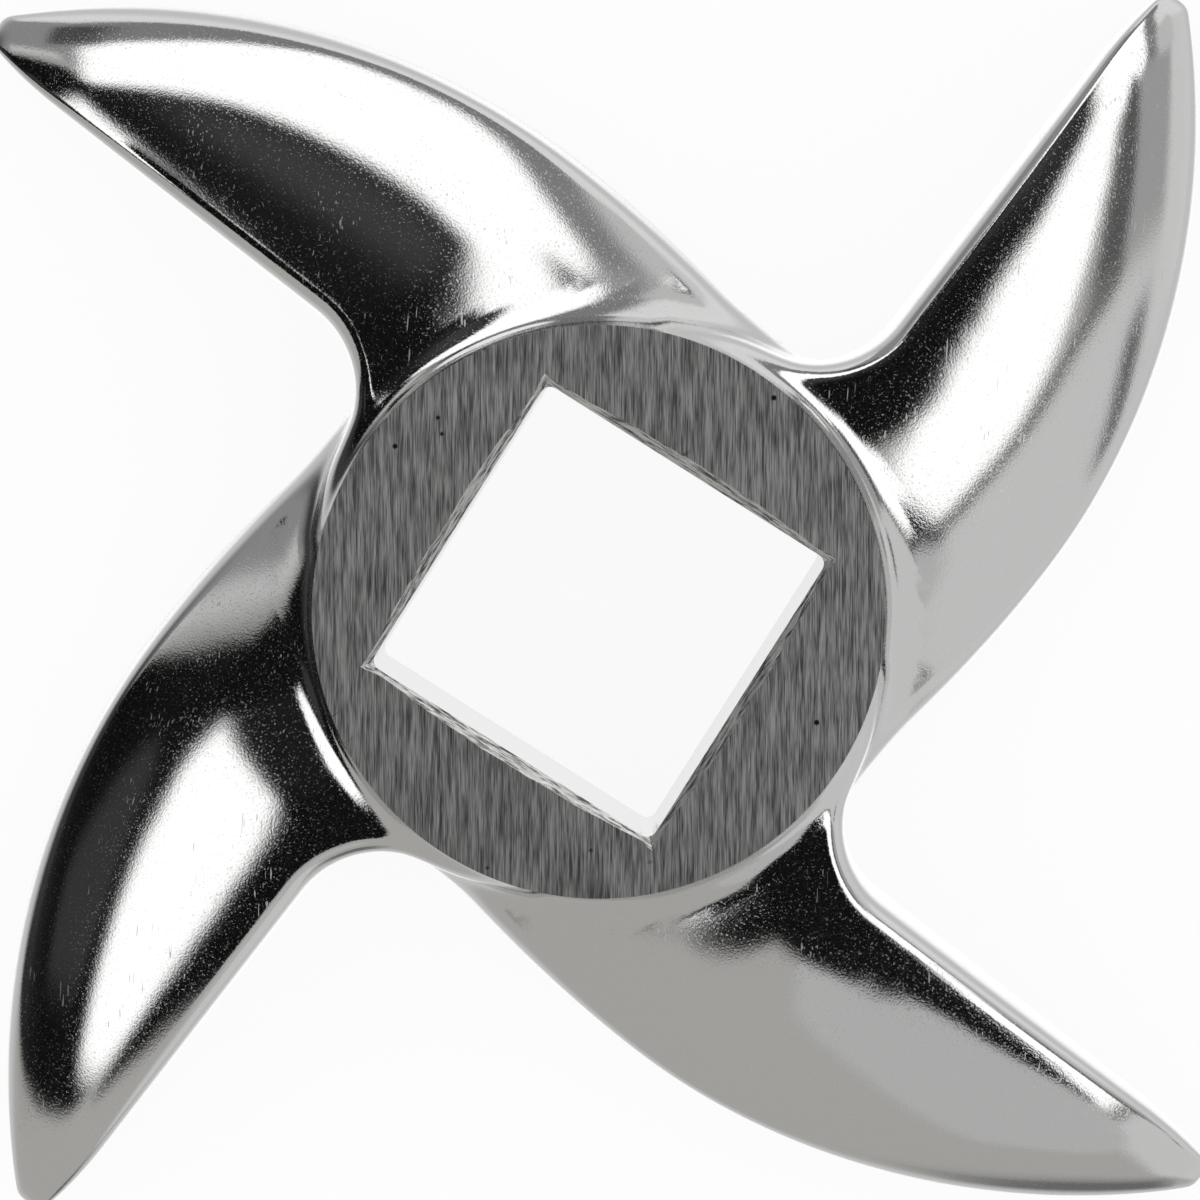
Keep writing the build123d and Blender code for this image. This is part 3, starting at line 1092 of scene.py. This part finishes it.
def place_camera(look):
    """The camera, nearly straight over the object."""
    data = bpy.data.cameras.new("camera")
    camera = bpy.data.objects.new("camera", data)
    bpy.context.scene.collection.objects.link(camera)
    data.sensor_width = CAMERA_SENSOR
    data.lens = look.lens
    data.clip_start = CAMERA_NEAR
    data.clip_end = CAMERA_FAR
    eye = on_stage(*CAMERA_PLACE)
    back = (eye - on_stage(*CAMERA_AIM)).normalized()
    side = on_stage(0, 1, 0).cross(back).normalized()
    turn = Matrix((side, back.cross(side), back)).transposed().to_4x4()
    camera.matrix_world = Matrix.Translation(eye) @ turn
    bpy.context.scene.camera = camera


# ---- operators and panel


class GRINDER_OT_knife(bpy.types.Operator):
    """Models the knife: hub, four arms, square bore, filed bevel and ground lands"""

    bl_idname = "grinder.knife"
    bl_label = "Make the knife"

    def execute(self, context):
        s = sizes_in_mm(context.scene.knife_sizes)
        rows = arm_rows(s)
        body = model_hub(s)
        arm = model_arm(rows)
        for k in range(ARMS):
            copy = arm.copy()
            copy.data = arm.data.copy()
            context.scene.collection.objects.link(copy)
            copy.data.transform(arm_turn(s, k))
            combine(body, copy, "UNION")
        bpy.data.objects.remove(arm)
        combine(body, model_bore_cutter(s, np.random.default_rng(STROKE_SEED)), "DIFFERENCE")
        combine(body, model_relief_cutter(s), "DIFFERENCE")
        if len(body.data.vertices) < LEAST_POINTS:
            raise RuntimeError("a cut of the knife went wrong")
        skin = Skin(s, rows)
        melt_into_hub(s, body, skin)
        kinds = sort_faces(s, body)
        look = context.scene.knife_finish
        body.data.materials.clear()
        for finish in (polished_steel, ground_steel, filed_steel, bore_steel, relieved_steel):
            body.data.materials.append(finish(look))
        body.data.polygons.foreach_set("material_index", kinds)
        smooth_skin(body, skin, kinds)
        body.data.transform(Matrix.Scale(MM, 4))
        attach(body, "root")
        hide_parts("knife")
        return {"FINISHED"}


class GRINDER_OT_stage(bpy.types.Operator):
    """Makes the pale floor, the soft studio light and the camera"""

    bl_idname = "grinder.stage"
    bl_label = "Make the stage"

    def execute(self, context):
        look = context.scene.stage_look
        select_none()
        bpy.ops.mesh.primitive_plane_add(size=look.floor_size, location=(0, 0, 0))
        floor = context.object
        floor.name = "floor"
        floor.data.transform(Matrix.Translation((0, 0, cad_box[0][2] - FLOOR_GAP)))
        floor.data.materials.append(floor_finish(look))
        studio_world(look)
        for name, card in CARDS.items():
            hang_card(name, *card)
        place_camera(look)
        context.scene.view_settings.view_transform = "Standard"
        return {"FINISHED"}


class GRINDER_PT_panel(bpy.types.Panel):
    """Sizes, finish and stage of the knife"""

    bl_idname = "GRINDER_PT_panel"
    bl_label = "Grinder knife"
    bl_space_type = "VIEW_3D"
    bl_region_type = "UI"
    bl_category = "Grinder knife"

    def draw(self, context):
        for title, group, operator in (
            ("Knife", context.scene.knife_sizes, "grinder.knife"),
            ("Finish", context.scene.knife_finish, None),
            ("Stage", context.scene.stage_look, "grinder.stage"),
        ):
            box = self.layout.box()
            box.label(text=title)
            for name in type(group).__annotations__:
                box.prop(group, name)
            if operator:
                box.operator(operator)


CLASSES = (KnifeSizes, KnifeFinish, StageLook, GRINDER_OT_knife, GRINDER_OT_stage, GRINDER_PT_panel)


def register():
    for made in CLASSES:
        bpy.utils.register_class(made)
    bpy.types.Scene.knife_sizes = PointerProperty(type=KnifeSizes)
    bpy.types.Scene.knife_finish = PointerProperty(type=KnifeFinish)
    bpy.types.Scene.stage_look = PointerProperty(type=StageLook)


def unregister():
    del bpy.types.Scene.stage_look, bpy.types.Scene.knife_finish, bpy.types.Scene.knife_sizes
    for made in reversed(CLASSES):
        bpy.utils.unregister_class(made)


def main():
    register()
    bpy.ops.grinder.knife()
    bpy.ops.grinder.stage()
    bpy.context.view_layer.update()


if __name__ == "__main__":
    main()
